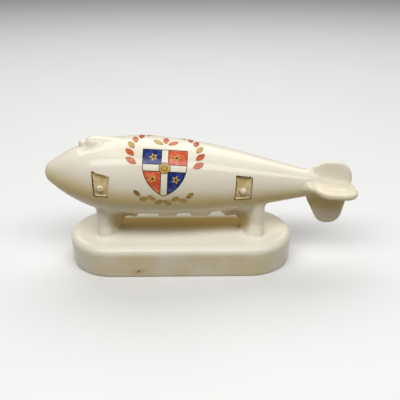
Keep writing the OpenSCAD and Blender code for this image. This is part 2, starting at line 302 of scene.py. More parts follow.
def spin_hull(name, stations, steps, inset=0.0):
    """Draws half an outline of the hull, inset a little, and spins it into a closed skin."""
    outline = [(stations[0], 0, 0)] if hull_radius_at(stations[0]) > inset else []
    outline += [(s, 0, max(0.0, hull_radius_at(s) - inset)) for s in stations]
    if outline[-1][2] > 0:
        outline.append((stations[-1], 0, 0))
    piece = draw(name, outline)
    bpy.ops.mesh.spin(steps=steps, angle=2 * pi, center=(0, 0, 0), axis=(1, 0, 0))
    select_whole()
    bpy.ops.mesh.remove_doubles(threshold=1e-6)
    face_outwards()
    object_mode()
    return piece


nose_ball = [NOSE_RADIUS * (1 - cos(radians(turn))) for turn in range(0, 50, 4)]
tail_ball = [TAIL_MIDDLE + TAIL_RADIUS * sin(radians(turn)) for turn in range(18, 91, 8)]
hull_rings = hull_stations(NOSE_END, CONE_END, RING_GAP, WINDOW_RING_GAP)
hull = spin_hull("hull", nose_ball + hull_rings + tail_ball, HULL_STEPS)
print("hull:", len(hull.data.vertices), "vertices")

# %% [markdown]
# No casting of this kind is true. The nose was drawn in a little, the belly is flatter than a circle,
# there is a dip behind the lookout, and a thumb has dished the hull on both sides of it. Each of these
# is a soft rule over the hull, kept in a vertex group and pushed by a Displace modifier. Every skin
# that is spun from the outline gets the same hand work, so that they all still fit each other.

# %% Hand work on the hull
WAVE_SIZE, WAVE_HEIGHT = 0.03, 0.1


def drawn_in(s, y, z):
    return fade(s, 0.0, 13.0)


def flattened(s, y, z):
    return fade(z, -16.0, -7.0) * fade(max(40.0 - s, 0.6 * (s - 58.0)), 0.0, 18.0)


def dipped(s, y, z):
    return fade(abs(s - 31.0), 2.0, 8.0) * fade(16.5 - z, 1.5, 5.0)


def dished(s, y, z):
    return fade(abs(abs(y) - 4.9), 0.3, 2.2) * fade(abs(s - 20.5), 2.0, 6.0) * fade(-z, -9.0, -7.0)


# Each rule, the way that it pushes and how far, in millimetres.
HAND_WORK = (
    (drawn_in, "X", 0.5), (flattened, "Z", 1.15), (dipped, "Z", -0.35), (dished, "NORMAL", -0.65)
)


def shape_by_hand(piece):
    """Pushes a skin of the hull the way that the maker's hands did."""
    for rule, way, height in HAND_WORK:
        group = weigh(piece, rule.__name__, rule)
        finish_with(
            piece, "DISPLACE", direction=way, strength=height * MM, mid_level=0.0, vertex_group=group
        )


shape_by_hand(hull)
clay_waves = bpy.data.textures.new("clay_waves", "CLOUDS")
clay_waves.noise_scale, clay_waves.noise_depth = WAVE_SIZE, 1
finish_with(
    hull, "DISPLACE", texture=clay_waves, texture_coords="LOCAL",
    strength=WAVE_HEIGHT * MM, mid_level=1.0,
)
print("hand work:", ", ".join(rule.__name__ for rule, _, _ in HAND_WORK))

# %% [markdown]
# The four windows were cut by hand and pressed in, so none of them is a true rectangle. Each is held
# as its four corners, and a place lies in it when it is inside all four edges. The vertex group says
# how deep each vertex goes, with a narrow slope at the border.

# %% Press the windows
SHOULDER_SLOPE = 0.35
half_x, half_y = WINDOW_LENGTH / 2, WINDOW_HEIGHT / 2
FRONT_CORNERS = [
    (0.8 - half_x, -half_y), (half_x - 0.55, 0.35 - half_y),
    (half_x, half_y - 0.75), (-half_x, half_y - 0.1),
]
REAR_CORNERS = [
    (-half_x, -half_y), (half_x - 0.1, 0.1 - half_y), (half_x, half_y - 0.8), (0.15 - half_x, half_y)
]
CORNERS = dict(zip(WINDOWS, (FRONT_CORNERS, REAR_CORNERS)))


def edges_of(corners):
    """Each edge of a window as its outward normal and its distance from the middle."""
    edges = []
    for (x0, y0), (x1, y1) in zip(corners, corners[1:] + corners[:1]):
        long = hypot(x1 - x0, y1 - y0)
        normal = ((y1 - y0) / long, (x0 - x1) / long)
        edges.append((*normal, normal[0] * x0 + normal[1] * y0))
    return edges


def window_press(s, y, z):
    """How far a place on the hull is pressed in, from 0 to 1."""
    station = min(WINDOWS, key=lambda place: abs(s - place))
    if abs(s - station) > WINDOW_LENGTH or abs(y) < 4:
        return 0.0
    x, rise = s - station, z - WINDOW_RISE
    beyond = max(nx * x + ny * rise - reach for nx, ny, reach in edges_of(CORNERS[station]))
    return fade(beyond, -SHOULDER_SLOPE, 0.0)


pressed = weigh(hull, "pressed", window_press)
finish_with(hull, "DISPLACE", strength=-WINDOW_DEPTH * MM, mid_level=0.0, vertex_group=pressed)
pick(hull)
bpy.ops.object.shade_smooth()
china = {"envelope": hull}
print("windows pressed:", len(WINDOWS) * 2)

# %% [markdown]
# ## Tail fins
# On the real casting the four fins grow out of the tail in wide, soft fillets. Plates that merely
# cut into the hull would leave hard lines. So four rounded plates, two thicker roots and a skin just
# under the hull are joined, remeshed into one mass, and smoothed only near the roots. Each quarter is
# then cut out as its own fin, and the mass under the hull's skin stays out of sight.

# %% Fin plates
FIN_THICK, ROOT_THICK, RIM_STEPS, RIM_SHARE = 2.8, 3.6, 14, 0.45
# Thickness, span, radius of the rim, length of the root, sweep, straight edge and turn of each plate.
FIN_PLATES = {
    "top_plate": (FIN_THICK, 10.3, 7.6, 24.0, 0.0, 2.4, 0.0),
    "bottom_plate": (FIN_THICK, 18.2, 5.6, 16.5, 1.9, 0.8, pi),
}
for side, roll in (("port", pi / 2), ("starboard", -pi / 2)):
    FIN_PLATES[side + "_plate"] = (FIN_THICK, 13.7, 6.2, 16.5, -1.2, 5.0, roll)
    FIN_PLATES[side + "_root"] = (ROOT_THICK, 9.6, 4.4, 36.0, 2.5, 5.0, roll)


def touch(point, middle, r, turn):
    """Direction, from a circle's middle, of the place where a line from a point touches it."""
    away = (middle[0] - point[0], middle[1] - point[1])
    return atan2(away[1], away[0]) + turn * (asin(r / hypot(*away)) + pi / 2)


def rim_arc(middle, r, first, last):
    """Points on an arc round a middle, from one direction to another."""
    turns = [first + (last - first) * n / RIM_STEPS for n in range(RIM_STEPS + 1)]
    return [(middle[0] + r * cos(turn), middle[1] + r * sin(turn)) for turn in turns]


def on_rim(edge):
    """Whether an edge runs along the outline of a plate, outside the hull's axis."""
    low, high = edge.verts
    return abs(low.co.y - high.co.y) < 1e-6 and max(low.co.z, high.co.z) > MM


def fin_plate(name, thick, span, rim_round, root, sweep, edge, roll):
    """A paddle-shaped plate with a round rim, turned round the hull's axis by roll."""
    tip = (FIN_BACK - sweep - rim_round, span - rim_round)
    shoulder = (tip[0] - edge, tip[1])
    front, back = (HULL_LENGTH - root, 0), (FIN_BACK, 0)
    first, last = touch(front, shoulder, rim_round, 1), touch(back, tip, rim_round, -1)
    rim = rim_arc(shoulder, rim_round, first, pi / 2) + rim_arc(tip, rim_round, pi / 2, last)
    piece = slab(name, [front] + rim + [back], thick)
    choose(piece, "edges", on_rim)
    bpy.ops.mesh.bevel(offset=RIM_SHARE * thick * MM, segments=6, affect="EDGES", clamp_overlap=True)
    object_mode()
    pick(piece).rotation_euler = (roll, 0, 0)
    apply_place()
    return piece


plates = [fin_plate(name, *sizes) for name, sizes in FIN_PLATES.items()]
print("fin plates:", len(plates))

# %% Join the plates with the tail and round their roots
SKIN_INSET, ROOT_REACH = 0.12, 6.5
TAIL_SKIN_START, TAIL_VOXEL, ROOT_ROUNDS = 86.0, 0.28, 420


def fin_root(s, y, z):
    """1 in the corner between a fin and the tail, fading out over the fillet."""
    over = hypot(y, z) - max(TAIL_RADIUS, hull_radius_at(s))
    aside = min(abs(y), abs(z)) - FIN_THICK / 2
    if aside < -0.3:
        ridge = fade(over, 1.6, 4.2) if abs(y) > abs(z) else 0.6 * fade(over, 0.3, 2.5)
        return ridge * fade(s, 118.0, 122.0)
    return fade(over, 0.5, ROOT_REACH) * fade(aside, 0.5, ROOT_REACH) * fade(s, 119.0, 126.0)


tail_rings = hull_stations(TAIL_SKIN_START, CONE_END, RING_GAP, RING_GAP) + tail_ball
tail_skin = spin_hull("tail_skin", tail_rings, 96, SKIN_INSET)
tail_mass = even_out(join_all(plates + [tail_skin], "tail_mass"), TAIL_VOXEL)
round_corners(tail_mass, fin_root, ROOT_ROUNDS)
print("tail mass:", len(tail_mass.data.vertices), "vertices")

# %% Cut the four fins out of the tail
FIN_MIDDLES = {"top": pi / 2, "bottom": -pi / 2, "port": pi, "starboard": 0}
ROOT_FRONT = 92


def quarter(middle):
    """The two planes that bound a quarter round the hull's axis, and the one ahead of the roots."""
    sides = [middle + pi / 4 + pi / 2, middle - pi / 4 - pi / 2]
    planes = [((100, 0, 0), (0, cos(turn), sin(turn))) for turn in sides]
    return planes + [((ROOT_FRONT, 0, 0), (-1, 0, 0))]


for side, middle in FIN_MIDDLES.items():
    fin = cut_out(tail_mass, "tail_fin_" + side, quarter(middle))
    china[side + "_fin"] = fin
    print(fin.name, len(fin.data.vertices), "vertices")
bpy.data.objects.remove(tail_mass)

# %% [markdown]
# ## Lookout
# Near the nose a small cowl stands on the hull, its ridge falling a little towards the tail, with a
# ball of clay in front. Both are pressed on while the clay is damp, so they melt into the hull too.
# The same recipe serves: a capsule, a ball and a strip of hull skin are joined, remeshed and smoothed
# along the line where they meet.

# %% Lookout cowl and ball
COWL_FRONT, COWL_HEIGHT, COWL_RADIUS, COWL_FALL = 17.0, 16.4, 3.6, radians(2)
BALL_RADIUS, BALL_LIFT, BALL_TUCK = 1.6, 0.8, 0.7
LOOKOUT_VOXEL, LOOKOUT_ROUNDS = 0.22, 90
ball_station = COWL_FRONT - BALL_RADIUS + BALL_TUCK
cowl_middle, cowl_axis = COWL_FRONT + COWL_RADIUS, COWL_HEIGHT - COWL_RADIUS

cowl_capsule = added(
    "cowl_capsule", "uv_sphere", segments=48, ring_count=24, radius=COWL_RADIUS * MM,
    rotation=(0, pi / 2, 0), location=(cowl_middle * MM, 0, cowl_axis * MM),
)
edit_mode()
choose(cowl_capsule, "verts", lambda v: v.co.x > (cowl_middle + 0.1) * MM)
cowl_run = SHOULDER - cowl_middle
bpy.ops.transform.translate(value=(cowl_run * MM, 0, -cowl_run * sin(COWL_FALL) * MM))
object_mode()

ball_clay = added(
    "ball_clay", "ico_sphere", subdivisions=5, radius=BALL_RADIUS * MM,
    location=(ball_station * MM, 0, (hull_radius_at(ball_station) + BALL_LIFT) * MM),
)
bow_skin = spin_hull("bow_skin", hull_stations(9.0, 42.0, 0.5, 0.5), 240, SKIN_INSET)
shape_by_hand(bow_skin)
slice_off(bow_skin, [((0, 0, 4), (0, 0, -1))])
lookout_mass = even_out(join_all([cowl_capsule, ball_clay, bow_skin], "lookout_mass"), LOOKOUT_VOXEL)


def lookout_root(s, y, z):
    """1 in the corner round the cowl and the ball, fading out over the fillet."""
    over = hypot(y, z) - hull_radius_at(s)
    notch = 0.8 * fade(abs(s - COWL_FRONT - 0.4), 0.6, 1.6)
    notch = notch * fade(over, 2.0, 3.2) * fade(abs(y), 1.2, 2.4)
    return max(notch, fade(over, 0.3, 1.6) * fade(abs(y), 4.5, 7.5) * fade(abs(s - 25), 11.5, 15.0))


round_corners(lookout_mass, lookout_root, LOOKOUT_ROUNDS)
sides = [((0, 9, 0), (0, 1, 0)), ((0, -9, 0), (0, -1, 0)), ((0, 0, 6), (0, 0, -1))]
crease = COWL_FRONT + BALL_TUCK
ball_ends = [((crease, 0, 0), (1, 0, 0)), ((11.0, 0, 0), (-1, 0, 0))]
cowl_ends = [((crease, 0, 0), (-1, 0, 0)), ((41.0, 0, 0), (1, 0, 0))]
china["lookout_ball"] = cut_out(lookout_mass, "lookout_ball_clay", sides + ball_ends)
china["lookout_cowl"] = cut_out(lookout_mass, "lookout_hood", sides + cowl_ends)
bpy.data.objects.remove(lookout_mass)
on_hull = list(china.values())
print("drawn along the hull:", ", ".join(piece.name for piece in on_hull))

# %% [markdown]
# ## Seating the hull
# Everything so far was drawn with the nose at the origin and the axis along X. One matrix seats it:
# back to the nose's place, tilted nose up, and lifted over the plinth. The transform is applied, so
# the objects end up at the origin with their place in their meshes.

# %% The hull's seat
AXIS_HEIGHT, NOSE_UP, NOSE_REACH = 37.0, radians(3.2), 56.2
OVERHANG = (OVERALL_LENGTH / 2 - NOSE_REACH) * cos(NOSE_UP)
SEAT = (
    Matrix.Translation(Vector((-OVERHANG, 0, AXIS_HEIGHT)) * MM)
    @ Matrix.Rotation(NOSE_UP, 4, "Y")
    @ Matrix.Translation(Vector((-NOSE_REACH, 0, 0)) * MM)
)
UNSEAT = SEAT.inverted()


def seat(piece):
    """Moves a piece from the hull's own frame into the ornament's."""
    pick(piece).matrix_world = SEAT
    apply_place()


print("the plinth's middle lies", round(OVERHANG, 2), "mm ahead of the origin")

# %% [markdown]
# ## Plinth
# The plinth is a hollow casting with round ends, open below. A cone with almost no taper gives the
# slight draft of the mould. Its two halves are pulled apart to make the straight sides, the rim is
# rolled over with a bevel, and the hollow is inset and pushed up from below. A remesh then lets the
# glaze-soft edges be smoothed evenly.

# %% Plinth
PLINTH_LENGTH, PLINTH_WIDTH, PLINTH_HEIGHT = 95.0, 38.0, 13.2
PLINTH_EDGE, PLINTH_WALL, PLINTH_DRAFT, PLINTH_VOXEL = 3.0, 3.0, 0.45, 0.45
half_width = PLINTH_WIDTH / 2
stretch = (PLINTH_LENGTH - PLINTH_WIDTH) / 2

plinth = added(
    "plinth_casting", "cone", vertices=120, radius1=(half_width - PLINTH_DRAFT) * MM,
    radius2=half_width * MM, depth=PLINTH_HEIGHT * MM,
    location=(0, 0, PLINTH_HEIGHT / 2 * MM), rotation=(0, 0, radians(1.5)),
)
edit_mode()
pull_apart(plinth, 0, stretch)
choose(plinth, "edges", lambda e: all(v.co.z > (PLINTH_HEIGHT - 0.1) * MM for v in e.verts))
bpy.ops.mesh.bevel(offset=PLINTH_EDGE * MM, segments=10, affect="EDGES")
choose(plinth, "faces", lambda f: f.normal.z < -0.9)
bpy.ops.mesh.inset(thickness=PLINTH_WALL * MM)
hollow = (0, 0, (PLINTH_HEIGHT - PLINTH_WALL) * MM)
bpy.ops.mesh.extrude_region_move(TRANSFORM_OT_translate={"value": hollow})
select_whole()
bpy.ops.transform.translate(value=(-OVERHANG * MM, 0, 0))
object_mode()
china["plinth"] = even_out(plinth, PLINTH_VOXEL)
print("plinth:", len(plinth.data.vertices), "vertices")

# %% [markdown]
# Each pillar has a bore that drained the slip out of the hull. It comes out in the plinth's hollow,
# so the ornament shows two small holes from below. Boolean cylinders drill them.

# %% Drill the drain holes
PILLAR_SPACING, DRAIN_BORE, DRILL_LENGTH, DRILL_HEIGHT = 64.0, 3.0, 30, 8
PILLAR_X = (-PILLAR_SPACING / 2 - OVERHANG, PILLAR_SPACING / 2 - OVERHANG)


def drill(piece, x):
    """Cuts one drain bore down through a piece."""
    bit = added(
        "drill_bit", "cylinder", vertices=48, radius=DRAIN_BORE / 2 * MM, depth=DRILL_LENGTH * MM,
        location=(x * MM, 0, DRILL_HEIGHT * MM),
    )
    finish_with(piece, "BOOLEAN", operation="DIFFERENCE", object=bit, solver="EXACT")
    bpy.data.objects.remove(bit)


for x in PILLAR_X:
    drill(plinth, x)
soften(plinth)
print("drains at x =", [round(x, 1) for x in PILLAR_X])

# %% [markdown]
# ## Pillars and cars
# Two stout pillars carry the hull, and a row of short cars hangs between them. All of them are luted
# on with slip, which flares round the pillars' feet and fills the corners between pillars and cars. So
# columns, cars, two webs of slip, a strip of hull skin and two discs of plinth top are joined,
# remeshed and smoothed in the corners. Upright cuts then part pillars from cars where the castings
# meet.

# %% Columns and what they stand on
PILLAR_THICK, PILLAR_DEPTH, FLARES = 6.2, 16.5, (1.0, 2.6)
COLUMN_TOP, COLUMN_FOOT = 31.0, PLINTH_HEIGHT - 1.2
FOOT_HEIGHT, FOOT_RINGS = 5.0, 12
DISC_THICK, DISC_MARGIN = 1.6, 0.8


def column(x, flare):
    """A round-ended column, its foot flaring out on all but the outer side."""
    piece = added(
        "column", "cylinder", vertices=64, radius=PILLAR_THICK / 2 * MM,
        depth=(COLUMN_TOP - COLUMN_FOOT) * MM, rotation=(0, 0, radians(2.8)),
        location=(x * MM, 0, (COLUMN_TOP + COLUMN_FOOT) / 2 * MM),
    )
    edit_mode()
    pull_apart(piece, 1, (PILLAR_DEPTH - PILLAR_THICK) / 2)
    for n in range(FOOT_RINGS + 1):
        select_whole()
        height = PLINTH_HEIGHT + FOOT_HEIGHT * n / FOOT_RINGS
        bpy.ops.mesh.bisect(plane_co=(0, 0, height * MM), plane_no=(0, 0, 1))
    object_mode()
    outward = 1 if x > -OVERHANG else -1

    def spread(at, y, z):
        return (PLINTH_HEIGHT + FOOT_HEIGHT - z) / FOOT_HEIGHT * fade(outward * (at - x), 0.0, 3.0)

    foot = weigh(piece, "foot", spread)
    return finish_with(piece, "DISPLACE", strength=flare * MM, mid_level=0.0, vertex_group=foot)


def footing(end):
    """A disc just under the plinth's top at one end, for a column's fillet to run out on."""
    height = PLINTH_HEIGHT - DISC_THICK / 2 - SKIN_INSET
    return added(
        "footing", "cylinder", vertices=64, radius=(half_width - PLINTH_EDGE - DISC_MARGIN) * MM,
        depth=DISC_THICK * MM, location=((end * stretch - OVERHANG) * MM, 0, height * MM),
    )


columns = [column(x, flare) for x, flare in zip(PILLAR_X, FLARES)]
footings = [footing(-1), footing(1)]
print("columns and footings:", len(columns), "and", len(footings))

# %% Cars, webs and the strip of hull that they hang from
CAR_CLEARANCE, CAR_THICK, CAR_LENGTH, CAR_PITCH, CAR_OFFSET = 6.4, 4.4, 6.8, 13.8, 1.2
END_CAR_LENGTH, END_CAR_TUCK, CAR_SLOPE = 10.0, 3, radians(44)
WEB_DEPTH, WEB_THIN, WEB_FOOT, WEB_REACH = 15.0, 6.0, 6.0, 8.0
STAND_VOXEL, SLIP_ROUNDS = 0.28, 170
car_low = PLINTH_HEIGHT + CAR_CLEARANCE


def car(start, end, slope_start, slope_end):
    """A car that hangs from the hull, its ends sloping outwards, start and end at its lower edge."""
    rise = COLUMN_TOP - car_low
    outline = [
        (start, car_low), (end, car_low),
        (end + rise * sin(slope_end) / cos(slope_end), COLUMN_TOP),
        (start - rise * sin(slope_start) / cos(slope_start), COLUMN_TOP),
    ]
    piece = slab("car", [(x - OVERHANG, z) for x, z in outline], CAR_THICK)
    object_mode()
    return piece


def web(x, way):
    """A web of slip between a pillar, its car and the plinth, thinning inwards."""
    outline = [
        (0, COLUMN_FOOT), (WEB_FOOT, COLUMN_FOOT), (WEB_REACH, car_low),
        (WEB_REACH, COLUMN_TOP), (0, COLUMN_TOP),
    ]
    piece = slab("web", [(x + way * reach, z) for reach, z in outline], WEB_DEPTH)
    choose(piece, "verts", lambda v: abs(v.co.x - x * MM) > MM)
    bpy.ops.transform.resize(value=(1, WEB_THIN / WEB_DEPTH, 1), center_override=(0, 0, 0))
    object_mode()
    return piece


inner = PILLAR_SPACING / 2 - PILLAR_THICK / 2
middles = [CAR_OFFSET + side * CAR_PITCH / 2 for side in (-1, 1)]
cars = [car(m - CAR_LENGTH / 2, m + CAR_LENGTH / 2, CAR_SLOPE, CAR_SLOPE) for m in middles]
cars.append(car(-inner - END_CAR_TUCK, -inner + END_CAR_LENGTH, 0, CAR_SLOPE))
cars.append(car(inner - END_CAR_LENGTH, inner + END_CAR_TUCK, CAR_SLOPE, 0))
webs = [web(PILLAR_X[0], 1), web(PILLAR_X[1], -1)]
belly = spin_hull("belly", hull_stations(12.0, 102.0, RING_GAP, RING_GAP), 128, SKIN_INSET)
shape_by_hand(belly)
seat(belly)
slice_off(belly, [((0, 0, 32), (0, 0, 1)), ((0, 12, 0), (0, 1, 0)), ((0, -12, 0), (0, -1, 0))])
stand_mass = join_all([belly] + columns + footings + cars + webs, "stand_mass")
even_out(stand_mass, STAND_VOXEL)
print("stand mass:", len(stand_mass.data.vertices), "vertices")

# %% Fill the corners with slip and part the pieces
SEAM, FOOT_REACH = 8.0, 13


def corner(x, y, z):
    """1 in the corners round a pillar's foot and head, fading out over the fillet."""
    s, _, h = (UNSEAT @ (Vector((x, y, z)) * MM)) / MM
    over = hypot(y, h) - hull_radius_at(max(0.1, s))
    pillar = min(PILLAR_X, key=lambda middle: abs(x - middle))
    near = abs(x - pillar)
    inward = -1 if x > -OVERHANG else 1
    foot = 0.3 * fade(z - PLINTH_HEIGHT, 0.4, 3.0) * fade(near, 7.0, 9.5) * fade(abs(y), 12.5, 14.5)
    head = fade(over, 0.6, 3.6) * fade(near, 7.0, 12.0)
    row = 0.5 * fade(over, 0.2, 1.2) * fade(abs(y), 3.5, 6.0)
    arch = fade(abs((x - pillar) * inward - 6.0), 3.5, 6.0)
    return max(foot, head, row, arch * fade(abs(z - 17.5), 4.5, 6.5) * fade(abs(y), 6.5, 9.0))


def between(low, high):
    """Planes that keep what lies between two places along the ornament."""
    return [((low, 0, 0), (-1, 0, 0)), ((high, 0, 0), (1, 0, 0))]


round_corners(stand_mass, corner, SLIP_ROUNDS)
front_cut, rear_cut = PILLAR_X[0] + SEAM, PILLAR_X[1] - SEAM
cuts = [
    front_cut,
    (front_cut + middles[0] - CAR_LENGTH / 2 - OVERHANG) / 2,
    CAR_OFFSET - OVERHANG,
    (rear_cut + middles[1] + CAR_LENGTH / 2 - OVERHANG) / 2,
    rear_cut,
]
over_plinth = [((0, 0, 14), (0, 0, -1))]
pillar_ends = {
    "front": (PILLAR_X[0] - FOOT_REACH, front_cut), "rear": (rear_cut, PILLAR_X[1] + FOOT_REACH)
}
for end, ends in pillar_ends.items():
    china[end + "_pillar"] = cut_out(stand_mass, "pillar_" + end, between(*ends))
for place, low, high in zip(("front", "fore_mid", "aft_mid", "rear"), cuts, cuts[1:]):
    china[place + "_car"] = cut_out(stand_mass, "car_" + place, between(low, high) + over_plinth)
bpy.data.objects.remove(stand_mass)
for end, x in zip(pillar_ends, PILLAR_X):
    drill(china[end + "_pillar"], x)
    soften(china[end + "_pillar"])
print("pieces of china:", len(china))

# %% [markdown]
# ## Films fired on the glaze
# Gilding and enamel lie on the glaze as films a few hundredths of a millimetre thick. Painting them
# into the hull's material would tie them to one mesh. So each design is drawn flat, scored into small
# facets, and thrown onto the hull with a Shrinkwrap modifier, straight down along its own axis. A UV
# map keeps the flat places in millimetres, so the brushwork can be worked out in the shader.

# %% Helpers for films
FILM_THICK, FILM_ANGLE, THROW_FROM = 0.09, 50, 8


def score(reach_x, reach_y, step):
    """Cuts the flat design in edit mode along and across, so that it can bend with the hull."""
    for reach, across in ((reach_x, (1, 0, 0)), (reach_y, (0, 1, 0))):
        count = int(2 * reach / step)
        for n in range(1, count):
            select_whole()
            place = (2 * reach * n / count - reach) * MM
            bpy.ops.mesh.bisect(plane_co=Vector(across) * place, plane_no=across)


def keep_flat_places(piece, offset=0.0, turn_length=1.0):
    """Writes each vertex's flat place into a UV map, in millimetres or in lengths of a leaf."""
    design = piece.data.uv_layers.new(name="design")
    for loop in piece.data.loops:
        place = piece.data.vertices[loop.vertex_index].co / MM
        design.data[loop.index].uv = (place.x / turn_length + offset, place.y / turn_length)


def fire_on(piece, station, rise, angle):
    """Throws a flat design onto the port side of the hull, square to it at an angle up from level."""
    outward = Vector((0, -cos(angle), sin(angle)))
    upward = Vector((0, sin(angle), cos(angle)))
    turn = Matrix((Vector((1, 0, 0)), upward, outward)).transposed().to_4x4()
    start = Vector((station, 0, 0)) + upward * rise + outward * (HULL_RADIUS + THROW_FROM)
    pick(piece).matrix_world = Matrix.Translation(start * MM) @ turn
    finish_with(
        piece, "SHRINKWRAP", target=hull, wrap_method="PROJECT", use_project_z=True,
        use_negative_direction=True, use_positive_direction=False,
    )
    apply_place()
    finish_with(piece, "SOLIDIFY", thickness=FILM_THICK * MM, offset=0.0)
    return soften(piece, FILM_ANGLE)


# %% [markdown]
# ### Windows
# Each pressed window holds a wash of buff gilding, has a hand-drawn gilt line round it, and a small
# round boss in it. The window's own four corners make the gilding, and the same shape, widened and
# without its middle, makes the line. A boss is a ball of clay, pushed a little out of round and cut off
# behind the floor.

# %% Window gilding, lines and bosses on the port side
LINE_REACH, WINDOW_FACET = 0.9, 0.25
BOSS_RADIUS, BOSS_LIFT, GILT_THICK = 1.5, 1.1, 0.15
LUMP_SIZE, LUMP_HEIGHT = 0.0016, 0.22
clay_lumps = bpy.data.textures.new("clay_lumps", "CLOUDS")
clay_lumps.noise_scale = LUMP_SIZE


def window_film(name, station, reach=0.0):
    """A scored sheet that fills the recess or, with a reach, a scored frame round it."""
    wider, taller = 1 + reach / half_x, 1 + reach / half_y
    piece = draw(name, [(x * wider, y * taller, 0) for x, y in CORNERS[station]])
    bpy.ops.mesh.edge_face_add()
    if reach:
        choose(piece, "faces", lambda f: True)
        bpy.ops.mesh.inset(thickness=reach * MM)
        bpy.ops.mesh.delete(type="FACE")
    score(half_x + reach, half_y + reach, WINDOW_FACET)
    object_mode()
    keep_flat_places(piece)
    return fire_on(piece, station, WINDOW_RISE, 0.0)


def window_boss(name, station):
    """A ball of clay pressed onto the recess's floor."""
    floor_y = WINDOW_DEPTH - GILT_THICK - hull_radius_at(station)
    piece = added(
        name, "ico_sphere", subdivisions=5, radius=BOSS_RADIUS * MM,
        location=(station * MM, (floor_y + BOSS_RADIUS - BOSS_LIFT) * MM, 0),
    )
    finish_with(
        piece, "DISPLACE", texture=clay_lumps, texture_coords="LOCAL",
        strength=LUMP_HEIGHT * MM, mid_level=0.6,
    )
    slice_off(piece, [((0, floor_y + 0.3, 0), (0, 1, 0))])
    return soften(piece, FILM_ANGLE)


windows = {}
for end, station in zip(("front", "rear"), WINDOWS):
    windows[end + "_port_gilding"] = window_film("window_gilding_port_" + end, station)
    windows[end + "_port_line"] = window_film("window_line_port_" + end, station, LINE_REACH)
    windows[end + "_port_boss"] = window_boss("window_boss_port_" + end, station)
print("port window pieces:", len(windows))

# %% [markdown]
# The far side can't be seen in the picture, and is made like the near one. Each finished piece is
# copied with its own mesh and mirrored through the middle. Mirroring turns a mesh inside out, so its
# normals are made to point outwards again.

# %% Mirror the windows to starboard
for node, source in list(windows.items()):
    pick(source)
    bpy.ops.object.duplicate()
    twin = named(source.name.replace("port", "starboard"))
    twin.scale = (1, -1, 1)
    apply_place()
    edit_mode()
    face_outwards()
    object_mode()
    windows[node.replace("port", "starboard")] = twin
print("window pieces:", len(windows))

# %% [markdown]
# ### Crest
# The crest is a quartered shield between two half wreaths, with a fan of leaves over it and two gilt
# sprigs under it. The shield's outline is two straight sides and two arcs. One leaf, made of two arcs,
# is drawn once and copied to every place. Its UV map starts at a whole number of its own, so the
# shader can tell the leaves apart.

# %% Shield
CREST_STATION, SHIELD_ANGLE = 49.8, radians(30)
SHIELD_WIDTH, SHIELD_HEIGHT = 17.6, 18.4
ARC_STEPS, CREST_FACET = 20, 0.6
shield_half, top_edge = SHIELD_WIDTH / 2, SHIELD_HEIGHT / 2
shield_square = SHIELD_HEIGHT / 3
shield_drop = SHIELD_HEIGHT - shield_square
shield_sweep = (shield_half**2 + shield_drop**2) / (2 * shield_half)
shield_turn = asin(shield_drop / shield_sweep)
shield_waist = SHIELD_HEIGHT / 2 - shield_square

right_side = [(shield_half, top_edge, 0)] + [
    (shield_half - shield_sweep + shield_sweep * cos(turn), shield_waist - shield_sweep * sin(turn), 0)
    for turn in [shield_turn * n / ARC_STEPS for n in range(ARC_STEPS + 1)]
]
left_side = [(-x, y, z) for x, y, z in reversed(right_side[:-1])]
shield = draw("crest_shield_film", right_side + left_side)
bpy.ops.mesh.edge_face_add()
score(shield_half, top_edge, CREST_FACET)
object_mode()
keep_flat_places(shield)
fire_on(shield, CREST_STATION, 0.0, SHIELD_ANGLE)
print("shield:", len(shield.data.vertices), "vertices")

# %% Leaves
LEAF_STEPS = 6


def flat_leaf(name, length, width):
    """A pointed leaf from the origin along X, bounded by two arcs."""
    bow, half = width / 2, length / 2
    r = (half**2 + bow**2) / (2 * bow)
    turn = asin(half / r)
    arc = [turn * n / LEAF_STEPS - turn for n in range(2 * LEAF_STEPS + 1)]
    rim = [(half + r * sin(t), r * cos(t) - r + bow, 0) for t in arc]
    rim += [(x, -y, z) for x, y, z in reversed(rim[1:-1])]
    piece = draw(name, rim)
    bpy.ops.mesh.edge_face_add()
    bpy.ops.transform.translate(value=(-half * MM, 0, 0))
    score(half, bow, CREST_FACET)
    select_whole()
    bpy.ops.transform.translate(value=(half * MM, 0, 0))
    object_mode()
    return piece


def spread_leaves(name, length, width, places):
    """Draws one leaf, copies it to every place (x, y and the way it points) and joins the copies."""
    leaf = flat_leaf(name + "_leaf", length, width)
    leaves = []
    for n, (x, y, way) in enumerate(places):
        pick(leaf)
        bpy.ops.object.duplicate()
        copy = named(f"{name}_{n}")
        keep_flat_places(copy, offset=n, turn_length=length)
        copy.location = Vector((x, y, 0)) * MM
        copy.rotation_euler = (0, 0, way)
        apply_place()
        leaves.append(copy)
    bpy.data.objects.remove(leaf)
    return join_all(leaves, name)


def both_sides(places):
    """Adds the mirror image of each leaf's place."""
    return places + [(-x, y, pi - way) for x, y, way in places]


# %% Wreath and fan
SPRAY_ANGLE, SPRAY_RADIUS, LEAF_COUNT, LEAF_LEAN = radians(60), 12.4, 6, radians(58)
SPRAY_FROM, SPRAY_TO = radians(-28), radians(52)
LEAF_LENGTH, LEAF_WIDTH, FAN_FOOT, FAN_TURN = 5.0, 2.4, 3.2, radians(55)
turns = [SPRAY_FROM + (SPRAY_TO - SPRAY_FROM) * n / (LEAF_COUNT - 1) for n in range(LEAF_COUNT)]
wreath = both_sides([(SPRAY_RADIUS * cos(t), SPRAY_RADIUS * sin(t), t + LEAF_LEAN) for t in turns])
fan_ways = [pi / 2 + turn for turn in (-FAN_TURN, 0, FAN_TURN)]
fan = [(LEAF_WIDTH / 2 * cos(way), FAN_FOOT + LEAF_WIDTH / 2 * sin(way), way) for way in fan_ways]
sprays = spread_leaves("crest_wreath", LEAF_LENGTH, LEAF_WIDTH, wreath + fan)
fire_on(sprays, CREST_STATION, 0.0, SPRAY_ANGLE)
print("leaves in the wreath:", len(wreath) + len(fan))

